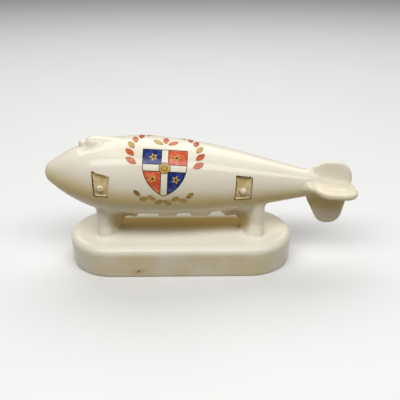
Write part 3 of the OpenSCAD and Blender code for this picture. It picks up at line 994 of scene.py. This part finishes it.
# %% Sprigs
GARLAND_LENGTH, GARLAND_ARC, GARLAND_GAP, GARLAND_COUNT = 18.0, 30.0, 1.6, 4
GARLAND_LEAF, GARLAND_LEAF_WIDTH, GARLAND_LEAN = 3.6, 1.7, radians(18)
garland_foot = SHIELD_HEIGHT / 2 + GARLAND_GAP
sprig = []
for n in range(GARLAND_COUNT):
    turn = GARLAND_LENGTH / GARLAND_ARC / 2 * n / (GARLAND_COUNT - 1)
    lean = GARLAND_LEAN if n % 2 else -GARLAND_LEAN
    sprig.append((GARLAND_ARC * sin(turn), GARLAND_ARC * (1 - cos(turn)) - garland_foot, turn + lean))
garland = spread_leaves("crest_sprigs", GARLAND_LEAF, GARLAND_LEAF_WIDTH, both_sides(sprig))
fire_on(garland, CREST_STATION, 0.0, SHIELD_ANGLE)
print("leaves in the sprigs:", 2 * len(sprig))

# %% Seat the pieces drawn in the hull's frame
on_hull += [shield, sprays, garland] + list(windows.values())
for piece in on_hull:
    seat(piece)
print("seated:", len(on_hull))

# %% [markdown]
# ## A small language for shaders
# Node trees are hard to read when every Math node takes five lines. One small class wraps a socket,
# so that sums on it add the Math nodes, and one method adds any other node.

# %% Shader maths as Python


class Paint:
    """One value in a material's node tree."""

    def __init__(self, tree, socket=None):
        self.tree, self.socket = tree, socket

    def add(self, kind, settings=None, inputs=None, output=0):
        """Adds any node: its type, its settings, then the values or links of its sockets."""
        node = self.tree.nodes.new(kind)
        for name, value in (settings or {}).items():
            setattr(node, name, value)
        for name, value in (inputs or {}).items():
            if isinstance(value, Paint):
                self.tree.links.new(value.socket, node.inputs[name])
            else:
                node.inputs[name].default_value = value
        return Paint(self.tree, node.outputs[output])

    def sum(self, operation, first, second=0.0):
        return self.add("ShaderNodeMath", {"operation": operation}, {0: first, 1: second})

    def __add__(self, other):
        return self.sum("ADD", self, other)

    def __radd__(self, other):
        return self.sum("ADD", other, self)

    def __sub__(self, other):
        return self.sum("SUBTRACT", self, other)

    def __rsub__(self, other):
        return self.sum("SUBTRACT", other, self)

    def __mul__(self, other):
        return self.sum("MULTIPLY", self, other)

    def __rmul__(self, other):
        return self.sum("MULTIPLY", other, self)

    def __truediv__(self, other):
        return self.sum("DIVIDE", self, other)

    def __rtruediv__(self, other):
        return self.sum("DIVIDE", other, self)

    def __pow__(self, other):
        return self.sum("POWER", self, other)

    def __abs__(self):
        return self.sum("ABSOLUTE", self)

    def least(self, other):
        return self.sum("MINIMUM", self, other)

    def most(self, other):
        return self.sum("MAXIMUM", self, other)

    def rise(self, low, high):
        """0 below low, 1 above high, and a soft step between."""
        return self.add(
            "ShaderNodeMapRange", {"interpolation_type": "SMOOTHSTEP"},
            {"Value": self, "From Min": low, "From Max": high},
        )

    def fall(self, low, high):
        """1 below low, 0 above high."""
        return 1 - self.rise(low, high)


# %% Colours, places and noise
GLAZE_SHINE = 0.3


def tone(red, green, blue):
    """A colour for a socket."""
    return (red, green, blue, 1.0)


def blend(share, first, second):
    """Mixes two colours: all of the first at 0, all of the second at 1."""
    return share.add("ShaderNodeMix", {"data_type": "RGBA"}, {0: share, 6: first, 7: second}, 2)


def finish(name):
    """A new material, a point's place on the ornament in millimetres, and the shader node."""
    material = bpy.data.materials.new(name)
    material.use_nodes = True
    paint = Paint(material.node_tree)
    metres = paint.add("ShaderNodeTexCoord", None, None, 3)
    here = paint.add("ShaderNodeVectorMath", {"operation": "SCALE"}, {0: metres, "Scale": 1 / MM})
    return material, here, material.node_tree.nodes["Principled BSDF"]


def feed(shader, name, value):
    """Links a value to one of the shader's sockets."""
    value.tree.links.new(value.socket, shader.inputs[name])


def split(vector):
    """The three parts of a vector."""
    return [vector.add("ShaderNodeSeparateXYZ", None, {"Vector": vector}, n) for n in range(3)]


def clouds(here, grain, detail=2.0, shift=0.0):
    """Soft noise with patches about grain millimetres wide."""
    moved = here.add("ShaderNodeVectorMath", None, {0: here, 1: (shift, shift, shift)})
    inputs = {"Vector": moved, "Scale": 1 / grain, "Detail": detail}
    return here.add("ShaderNodeTexNoise", None, inputs)


def length_of(x, y):
    """Length of a flat vector."""
    return (x * x + y * y) ** 0.5


def away_from(here, place):
    """Distance from a place, in millimetres."""
    return here.add("ShaderNodeVectorMath", {"operation": "DISTANCE"}, {0: here, 1: place}, 1)


def fleck(here, place, wide, tall, lean):
    """1 in a ragged oval mark on the port side, leaning up towards the tail."""
    x, y, z = split(here)
    x, z = x - place[0], z - place[2]
    along = (x * cos(lean) + z * sin(lean)) / wide
    across = (z * cos(lean) - x * sin(lean)) / tall
    ragged = length_of(along, across) + 0.9 * (clouds(here, 0.8, 3.0, 9.0) - 0.5)
    return ragged.fall(0.4, 1.1) * (y - place[1]).fall(0.6, 1.0)


# %% [markdown]
# ## Ivory glaze
# The glaze is a glossy, warm ivory that varies a little from place to place, with a few kiln specks.
# Shade is painted into its colour: honey under the hull and on the webs, and a deep amber on the
# sheltered middle of the plinth and in the corners of the webs, where the hull's shade falls. The rest
# of the plinth's top is painted paler, as painted light. The plinth also has a brown stain with a crack
# in its glaze, and a worn spot on its rim. The glaze is the ground of everything else, so its colour is
# a function that the painted films start from too: where their paint is worn or absent, they show the
# very same glaze.

# %% Where shade and light are painted
GLAZE_WARM, GLAZE_COOL = tone(0.82, 0.752, 0.605), tone(0.845, 0.793, 0.66)
# A paler colour for the plinth's top, as painted light.
PAINTED_LIGHT_PALE = tone(0.88, 0.845, 0.735)
# Honey is painted shade under the hull and thicker glaze on the plinth's wall; amber is painted shade.
HONEY_AND_PAINTED_SHADE, PAINTED_SHADE_AMBER = tone(0.73, 0.58, 0.25), tone(0.47, 0.33, 0.10)


def painted_shade_under_hull(here, along, y, z):
    """1 where shade is painted under the hull, less on the flank, the belly and the pillars."""
    below_axis = AXIS_HEIGHT - along * (sin(NOSE_UP) / cos(NOSE_UP)) - z
    # Painted shade, deeper further below the axis and towards the nose, in soft patches.
    shade_depth = below_axis + 2.2 * along.fall(-46.0, -18.0) + 3.0 * (clouds(here, 9.0, 2.0, 3.0) - 0.5)
    flank = 0.8 * below_axis.rise(4.5, 9.0) * along.fall(38.0, 46.0)
    less_shade = flank.most(0.7 * below_axis.rise(9.0, 13.5))
    near_hull = length_of(y, below_axis).fall(17.0, 18.6)
    pillar = abs(abs(along) - PILLAR_SPACING / 2).fall(3.0, 5.5)
    pillar = pillar * below_axis.rise(7.0, 10.0) * abs(y).rise(4.5, 6.5)
    return shade_depth.rise(-3.5, 5.5) * near_hull * (1 - less_shade) * (1 - 0.8 * pillar)


def honey_on_wall(here, y, z):
    """Patches of thicker glaze on the near wall of the plinth."""
    patches = 0.1 + 0.4 * clouds(here, 13.0, 3.0, 51.0).rise(0.34, 0.62)
    return z.fall(9.5, 11.5) * y.fall(-18.0, -14.0) * patches


def painted_shade_in_shelter(along, y, z):
    """1 where shade is painted: on the plinth's middle under the hull, and in the corners of the webs.
    """
    sheltered = y.rise(-6.5, 2.5) * y.fall(7.5, 11.5) * abs(along).fall(26.0, 32.0)
    sheltered = sheltered * z.rise(12.0, 13.0) * z.fall(15.0, 17.5)
    recess = (z - 1.2 * abs(along)).rise(-19.0, -15.5) * abs(along).rise(16.0, 22.0)
    recess = recess * abs(along).fall(27.0, 30.5) * abs(y).fall(7.0, 9.0)
    return sheltered.most(0.85 * (recess * z.rise(13.5, 15.0) * z.fall(20.5, 25.0)))


# %% Specks, stains and the whole glaze
SPECK_AND_REFLECTION_BROWN, STAIN_BROWN = tone(0.20, 0.11, 0.04), tone(0.42, 0.25, 0.09)
STAIN_OCHRE = tone(0.58, 0.42, 0.17)
STAIN_PLACE, CRACK_END, WORN_PLACE = (-25.7, -18.7, 2.8), -39.9, (36.6, -10.4, 12.6)
PLINTH_SPECKS = ((0.8, 3.7, 13.2), (-0.9, 2.1, 13.2))
# A dark painted reflection on the front boss.
BOSS_PAINTED_REFLECTION = (-39.2, -16.0, 39.3)
SPECK_GAP = 7.0


def specks(here):
    """1 in sparse kiln specks of several sizes, and in two on the plinth."""
    cells = {"Vector": here, "Scale": 1 / SPECK_GAP}
    near = here.add("ShaderNodeTexVoronoi", None, cells)
    lot = split(here.add("ShaderNodeTexVoronoi", None, cells, 1))
    speck = (near - lot[1] * 0.03).fall(0.0, 0.012) * lot[0].rise(0.86, 0.861)
    for place in PLINTH_SPECKS:
        speck = speck.most((away_from(here, place) + clouds(here, 0.6) * 0.5).fall(0.45, 0.75))
    return speck


def crack(here, x, y, z):
    """1 along a fine wavering crack beside the stain."""
    waver = abs(z - STAIN_PLACE[2] - 2.6 * (clouds(here, 5.0, 4.0, 27.0) - 0.5)).fall(0.03, 0.28)
    return waver * x.rise(CRACK_END, -33.0) * x.fall(-25.0, -21.5) * y.fall(-17.5, -16.5)


def glaze_colour(here):
    """Ivory, mottled softly, with painted shade and painted light, sparse specks and a few marks."""
    x, y, z = split(here)
    along = x + OVERHANG
    # Painted light: the plinth's top is made paler, less so towards its ends.
    painted_light_on_plinth_top = z.rise(11.0, 13.0) * z.fall(13.5, 15.0) * (1 - 0.8 * abs(along).rise(30.0, 38.0))
    worn = away_from(here, WORN_PLACE) + 1.2 * (clouds(here, 0.8, 3.0, 15.0) - 0.5)
    ground = blend(clouds(here, 22.0).rise(0.35, 0.65), GLAZE_WARM, GLAZE_COOL)
    for share, colour in (
        (painted_shade_under_hull(here, along, y, z), HONEY_AND_PAINTED_SHADE),
        (honey_on_wall(here, y, z), HONEY_AND_PAINTED_SHADE),
        (painted_light_on_plinth_top, PAINTED_LIGHT_PALE),
        (painted_shade_in_shelter(along, y, z), PAINTED_SHADE_AMBER),
        (specks(here) * 0.75, SPECK_AND_REFLECTION_BROWN),
        (fleck(here, STAIN_PLACE, 4.2, 1.9, 0.1) * 0.4, STAIN_OCHRE),
        (crack(here, x, y, z) * 0.25, STAIN_BROWN),
        (fleck(here, STAIN_PLACE, 1.2, 0.5, 0.45) * 0.8, SPECK_AND_REFLECTION_BROWN),
        # A dark painted reflection on the front boss.
        (fleck(here, BOSS_PAINTED_REFLECTION, 1.0, 0.35, 0.1) * 0.9, SPECK_AND_REFLECTION_BROWN),
        (worn.fall(0.3, 0.9) * 0.6, SPECK_AND_REFLECTION_BROWN),
    ):
        ground = blend(share, ground, colour)
    return ground


def glaze_gloss(here):
    """Roughness of the glaze, a little duller in patches."""
    return 0.07 + 0.07 * clouds(here, 9.0, 3.0, 40.0)


def glaze(here, shader, colour, roughness, depth=0.012):
    """Feeds a glossy finish, with a very shallow ripple in it, as fired glaze has."""
    feed(shader, "Base Color", colour)
    feed(shader, "Roughness", roughness)
    shader.inputs["Specular IOR Level"].default_value = GLAZE_SHINE
    inputs = {"Height": clouds(here, 2.6, 2.0, 7.0), "Strength": 1.0, "Distance": depth * MM}
    feed(shader, "Normal", here.add("ShaderNodeBump", None, inputs))


ivory, here, shader = finish("ivory_glaze")
glaze(here, shader, glaze_colour(here), glaze_gloss(here))
print("ivory glaze:", len(ivory.node_tree.nodes), "nodes")

# %% [markdown]
# ## Gilding and gilt lines
# The wash in the windows is a thin buff gilding, rubbed paler in the middle, with painted shadow under
# the top edge. The line round each window is drawn by hand: thick and dark brown on some sides, thin,
# broken and gold on the others. The film under it is wider than the stroke, and shows plain glaze where
# there is no paint.

# %% Gilding
GILT_PALE, GILT_DARK = tone(0.46, 0.32, 0.10), tone(0.095, 0.048, 0.007)
WASH_DEEP, WASH_RUBBED = tone(0.64, 0.47, 0.19), tone(0.73, 0.61, 0.36)
# The darker wash under a window's top edge is painted shadow.
WASH_PAINTED_SHADOW, WASH_GRAIN = tone(0.44, 0.28, 0.09), tone(0.30, 0.18, 0.06)
GILDING_PIT = (15.7, -11.9, 35.3)


def design_places(here):
    """A point's place on the flat design, from its UV map."""
    return split(here.add("ShaderNodeUVMap", {"uv_map": "design"}))


gilding, here, shader = finish("buff_gilding")
x, y, _ = design_places(here)
wash = blend(clouds(here, 2.6, 3.0).rise(0.40, 0.60), WASH_DEEP, WASH_RUBBED)
# Painted shadow under the window's top edge.
painted_shadow_under_top = (y + 0.9 * (clouds(here, 1.4, 2.0, 21.0) - 0.5)).rise(1.6, 3.4) * abs(x).fall(1.8, 3.0)
wash = blend(painted_shadow_under_top * 0.75, wash, WASH_PAINTED_SHADOW)
wash = blend(clouds(here, 0.7, 2.0, 11.0).rise(0.66, 0.74) * 0.5, wash, WASH_GRAIN)
wash = blend(fleck(here, GILDING_PIT, 0.9, 0.5, -0.9) * 0.85, wash, GILT_DARK)
glaze(here, shader, wash, 0.20 + 0.16 * clouds(here, 1.2, 3.0, 5.0), 0.03)
print("gilding:", len(gilding.node_tree.nodes), "nodes")

# %% Gilt lines


def beyond_edges(x, y, corners):
    """How far a flat place lies outside a window, less than nothing inside it."""
    beyond = None
    for nx, ny, reach in edges_of(corners):
        away = x * nx + y * ny - reach
        beyond = away if beyond is None else beyond.most(away)
    return beyond


def line_finish(name, corners, shift, heavy_sides):
    """A hand-drawn line round one window, thick and dark on some sides, thin and gold on the others."""
    material, here, shader = finish(name)
    x, y, _ = design_places(here)
    left, right, top = heavy_sides
    heavy = (x.fall(-2.7, -2.1) * left).most(x.rise(2.3, 2.8) * right).most(y.rise(3.6, 4.2) * top)
    heavy = heavy.most(y.fall(-4.4, -3.8)) * clouds(here, 2.2, 2.0, shift + 7.0).rise(0.20, 0.38)
    middle = 0.14 + 0.14 * (clouds(here, 2.4, 1.0, shift) - 0.5)
    width = 0.11 + 0.20 * heavy + 0.06 * clouds(here, 1.6, 2.0, shift + 3.0).rise(0.36, 0.66)
    stroke = (abs(beyond_edges(x, y, corners) - middle) - width).fall(-0.06, 0.06)
    ink = stroke * clouds(here, 1.9, 2.0, shift + 5.0).most(heavy).rise(0.30, 0.45)
    colour = blend(ink, glaze_colour(here), blend(heavy, GILT_PALE, GILT_DARK))
    glaze(here, shader, colour, glaze_gloss(here) + 0.12 * ink)
    return material


gilt_lines = {
    "front": line_finish("gilt_line_front", FRONT_CORNERS, 0.0, (1.0, 0.3, 0.2)),
    "rear": line_finish("gilt_line_rear", REAR_CORNERS, 33.0, (0.6, 0.8, 1.0)),
}
print("gilt lines:", len(gilt_lines))

# %% [markdown]
# ## Enamels of the crest
# Enamel is laid on in flat strokes of navy, orange red and gold, each bounded by a fine dark line. The
# shield's charges are worked out from the flat place: how far it is from the rim, from the arms of the
# cross and from the middle of each quarter. Brushwork makes the colours thicker and thinner.

# %% Shield enamel
NAVY, NAVY_THIN = tone(0.012, 0.022, 0.13), tone(0.045, 0.075, 0.30)
RED, RED_THIN = tone(0.62, 0.085, 0.030), tone(0.80, 0.22, 0.10)
GOLD, GOLD_DARK, GOLD_PALE = tone(0.52, 0.33, 0.07), tone(0.24, 0.13, 0.025), tone(0.66, 0.47, 0.15)
INK = tone(0.02, 0.016, 0.014)
CROSS_HALF, CROSS_RISE = 1.35, 1.6
FLOWER_X, FLOWER_Y, PETAL_COUNT = 4.5, 4.3, 5.0


def brushed(here, thick, thin, shift):
    """Two depths of one enamel, as a loaded brush leaves them."""
    return blend(clouds(here, 1.6, 4.0, shift).rise(0.40, 0.72), thick, thin)


shield_enamel, here, shader = finish("shield_enamel")
x, y, _ = design_places(here)
wobble = 0.22 * (clouds(here, 1.3, 2.0, 23.0) - 0.5)
side = length_of(abs(x) + (shield_sweep - shield_half), (y - shield_waist).least(0.0))
from_rim = (shield_sweep - side).least(top_edge - y) + wobble
from_cross = abs(x).least(abs(y - CROSS_RISE)) - CROSS_HALF + wobble
quarter_sign = (x * (y - CROSS_RISE)).rise(-0.01, 0.01)
field = blend(quarter_sign, brushed(here, NAVY, NAVY_THIN, 31.0), brushed(here, RED, RED_THIN, 47.0))
flower_x, flower_y = abs(x) - FLOWER_X, abs(y - CROSS_RISE) - FLOWER_Y
reach = length_of(flower_x, flower_y)
turn = reach.sum("ARCTAN2", flower_y, flower_x)
petals = 1.15 + 0.45 * turn.sum("COSINE", turn * PETAL_COUNT)
flower = (reach - petals + wobble).fall(-0.05, 0.05)
field = blend(flower, field, brushed(here, GOLD, GOLD_PALE, 53.0))
field = blend((reach - 0.4).fall(0.0, 0.1), field, INK)
arms = blend(from_cross.fall(-0.02, 0.05), field, glaze_colour(here))
arms = blend(abs(from_cross).fall(0.10, 0.20), arms, INK)
middle = length_of(x, y - CROSS_RISE) + wobble
arms = blend(middle.fall(2.3, 2.4), arms, INK)
arms = blend(middle.fall(2.05, 2.15), arms, brushed(here, GOLD, GOLD_PALE, 61.0))
arms = blend(abs(middle - 1.1).fall(0.12, 0.22), arms, GOLD_DARK)
arms = blend(from_rim.fall(0.22, 0.34), arms, INK)
glaze(here, shader, arms, glaze_gloss(here) + 0.10, 0.02)
print("shield enamel:", len(shield_enamel.node_tree.nodes), "nodes")

# %% Leaf enamels
LEAF_RIM, VEIN_COUNT = tone(0.16, 0.05, 0.02), 26.0


def leaf_enamel(name, thick, thin, other_thick, other_thin, every, width):
    """Enamel for leaves: brushed colour, a midrib, side veins and a dark rim; some leaves differ."""
    material, here, shader = finish(name)
    u, v, _ = design_places(here)
    along, number = u.sum("FRACT", u), u.sum("FLOOR", u)
    odd = u.sum("MODULO", number, every).rise(every - 1.5, every - 1.4)
    colour = blend(odd, brushed(here, thick, thin, 71.0), brushed(here, other_thick, other_thin, 83.0))
    half = width / 2 - (along - 0.5) * (along - 0.5) * 2 * width
    veins = abs(u.sum("SINE", (along - abs(v)) * VEIN_COUNT)).fall(0.0, 0.35) * 0.45
    colour = blend(veins, colour, GOLD_DARK)
    colour = blend(abs(v).fall(0.012, 0.030) * along.fall(0.75, 0.95), colour, GOLD_DARK)
    colour = blend((half - abs(v)).fall(0.012, 0.045) * 0.85, colour, LEAF_RIM)
    glaze(here, shader, colour, glaze_gloss(here) + 0.12, 0.03)
    return material


red_width, gold_width = LEAF_WIDTH / LEAF_LENGTH, GARLAND_LEAF_WIDTH / GARLAND_LEAF
red_enamel = leaf_enamel("red_leaf_enamel", RED, RED_THIN, GOLD, GOLD_PALE, 3.0, red_width)
gold_enamel = leaf_enamel("gold_leaf_enamel", GOLD, GOLD_PALE, GOLD_DARK, GOLD, 4.0, gold_width)
print("leaf enamels made")

# %% [markdown]
# ## Dress the pieces
# Each piece gets its finish, rides on the ornament's only body, and stands for the CAD node that it
# was made over.


def dress(piece, node, material):
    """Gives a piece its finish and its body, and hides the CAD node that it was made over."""
    piece.data.materials.clear()
    piece.data.materials.append(material)
    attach(piece, "root")
    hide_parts(node)


for node, piece in china.items():
    dress(piece, node, ivory)
for node, piece in windows.items():
    end, _, part = node.split("_")
    finishes = {"gilding": gilding, "line": gilt_lines[end], "boss": ivory}
    dress(piece, node, finishes[part])
dress(shield, "crest_shield", shield_enamel)
dress(sprays, "crest_sprays", red_enamel)
dress(garland, "crest_garland", gold_enamel)
print("pieces dressed:", len(china) + len(windows) + 3)

# %% [markdown]
# ## Camera
# The camera stands where the picture was taken from: in front of the port side, looking down at about
# 27 degrees. The lens follows from a focal length of 599 pixels on a picture 400 pixels wide.

# %% Camera
FOCAL_PIXELS, PICTURE_PIXELS, SENSOR, CLIP_START = 599.0, 400.0, 36.0, 0.01
CAMERA_PLACE = Vector((4.488 - OVERHANG, -226.15, 140.78)) * MM
FORWARD = Vector((0.0143, 0.8920, -0.4517)).normalized()
RIGHT = Vector((0.9999, -0.0157, 0.0006)).normalized()
bpy.ops.object.camera_add(location=CAMERA_PLACE)
camera = bpy.context.object
facing = Matrix((RIGHT, RIGHT.cross(FORWARD), -FORWARD)).transposed().to_4x4()
camera.matrix_world = Matrix.Translation(CAMERA_PLACE) @ facing
camera.data.sensor_width = SENSOR
camera.data.lens = FOCAL_PIXELS / PICTURE_PIXELS * SENSOR
camera.data.clip_start = CLIP_START
bpy.context.scene.camera = camera
print("lens:", round(camera.data.lens, 2), "mm")

# %% [markdown]
# ## Table and light
# The ornament stands on a plain pale table, so wide that its far edge stays out of the picture. The
# main softbox is long and narrow, high up in front: it draws the highlight along the flank, lights the
# near side of the plinth and leaves the shade of the hull on its middle. A weaker one behind lights the
# top, and a weak even world fills the rest. The table looks pale, but throws little light back up, as
# a dark one would.

# %% Table
TABLE_SIZE, TABLE_ROUGHNESS = 40.0, 0.6
PAPER_DARK, PAPER_LIGHT = tone(0.78, 0.78, 0.775), tone(0.82, 0.82, 0.815)
TABLE_BOUNCE = tone(0.24, 0.215, 0.18)
table = added("table", "plane", size=TABLE_SIZE)
pale, here, shader = finish("pale_table")
seen = here.add("ShaderNodeLightPath")
for ray in ("Is Glossy Ray", "Is Transmission Ray"):
    seen = seen.most(here.add("ShaderNodeLightPath", None, None, ray))
paper = blend(clouds(here, 60.0), PAPER_DARK, PAPER_LIGHT)
feed(shader, "Base Color", blend(seen, TABLE_BOUNCE, paper))
shader.inputs["Roughness"].default_value = TABLE_ROUGHNESS
table.data.materials.append(pale)
print("table:", TABLE_SIZE, "m wide")

# %% Light
AIM = (0, 0, 0.04)
WORLD_TONE, WORLD_STRENGTH = tone(1.0, 0.99, 0.97), 0.15


def softbox(name, place, width, depth, power):
    """A rectangular area light that faces the ornament, in metres and watts."""
    bpy.ops.object.light_add(type="AREA", location=place)
    lamp = bpy.context.object
    lamp.name = name
    lamp.rotation_euler = (Vector(AIM) - Vector(place)).to_track_quat("-Z", "Y").to_euler()
    lamp.data.shape = "RECTANGLE"
    lamp.data.size, lamp.data.size_y = width, depth
    lamp.data.energy = power


softbox("main_box", place=(0.0, -0.296, 0.585), width=1.1, depth=0.22, power=4.35)
softbox("back_box", place=(0.0, 0.40, 0.515), width=0.90, depth=0.40, power=2.6)
world = bpy.data.worlds.new("studio")
bpy.context.scene.world = world
world.use_nodes = True
sky = world.node_tree.nodes["Background"].inputs
sky["Color"].default_value, sky["Strength"].default_value = WORLD_TONE, WORLD_STRENGTH
bpy.context.scene.view_settings.view_transform = "Standard"
print("two softboxes and the world lit")
